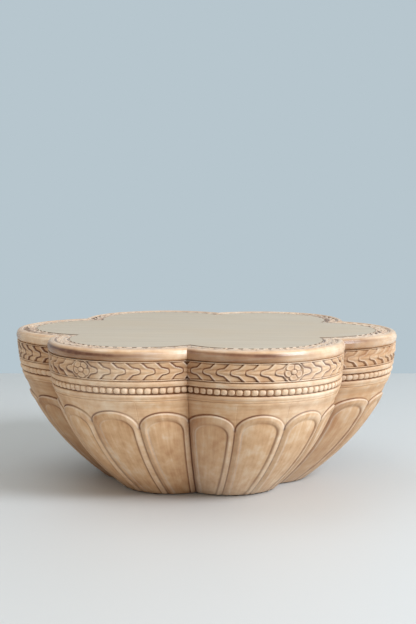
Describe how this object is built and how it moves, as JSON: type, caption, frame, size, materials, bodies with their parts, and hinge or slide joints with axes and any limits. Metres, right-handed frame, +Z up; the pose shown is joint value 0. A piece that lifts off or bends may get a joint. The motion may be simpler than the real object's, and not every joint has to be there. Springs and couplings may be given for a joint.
{
  "type": "carved drum coffee table",
  "caption": "Low bowl-shaped coffee table on a lobed plan, with carved petals, a bead row, a leaf frieze and a smooth inset top.",
  "frame": {"origin": "on the floor, on the drum's upright axis", "axes": "+Z up; +X through the middle of a lobe; +Y through a notch between two lobes"},
  "size_m": [1.0668, 0.9902, 0.413],
  "materials": {
    "carved_wood": "limed and waxed carved hardwood, tan with darker glaze in the cuts",
    "washed_top": "grey-beige washed hardwood, smooth satin",
    "frame_wood": "bare planed wood",
    "screw_steel": "zinc-plated",
    "glide_plastic": "black nylon"
  },
  "bodies": {
    "root": {"base_board": "frame_wood", "base_screws": "screw_steel", "batten_screws": "screw_steel", "bead_strip_1": "carved_wood", "bead_strip_2": "carved_wood", "bead_strip_3": "carved_wood", "bead_strip_4": "carved_wood", "bead_strip_5": "carved_wood", "bead_strip_6": "carved_wood", "corner_block_1": "frame_wood", "corner_block_2": "frame_wood", "corner_block_3": "frame_wood", "corner_block_4": "frame_wood", "corner_block_5": "frame_wood", "corner_block_6": "frame_wood", "foot_glides": "glide_plastic", "frieze_segment_1": "carved_wood", "frieze_segment_2": "carved_wood", "frieze_segment_3": "carved_wood", "frieze_segment_4": "carved_wood", "frieze_segment_5": "carved_wood", "frieze_segment_6": "carved_wood", "left_batten": "frame_wood", "long_batten": "frame_wood", "petal_stave_1": "carved_wood", "petal_stave_10": "carved_wood", "petal_stave_11": "carved_wood", "petal_stave_12": "carved_wood", "petal_stave_13": "carved_wood", "petal_stave_14": "carved_wood", "petal_stave_15": "carved_wood", "petal_stave_16": "carved_wood", "petal_stave_17": "carved_wood", "petal_stave_18": "carved_wood", "petal_stave_19": "carved_wood", "petal_stave_2": "carved_wood", "petal_stave_20": "carved_wood", "petal_stave_21": "carved_wood", "petal_stave_22": "carved_wood", "petal_stave_23": "carved_wood", "petal_stave_24": "carved_wood", "petal_stave_3": "carved_wood", "petal_stave_4": "carved_wood", "petal_stave_5": "carved_wood", "petal_stave_6": "carved_wood", "petal_stave_7": "carved_wood", "petal_stave_8": "carved_wood", "petal_stave_9": "carved_wood", "right_batten": "frame_wood", "rim_dowels": "frame_wood", "rim_segment_1": "carved_wood", "rim_segment_2": "carved_wood", "rim_segment_3": "carved_wood", "rim_segment_4": "carved_wood", "rim_segment_5": "carved_wood", "rim_segment_6": "carved_wood", "top_panel": "washed_top"}
  },
  "joints": []
}
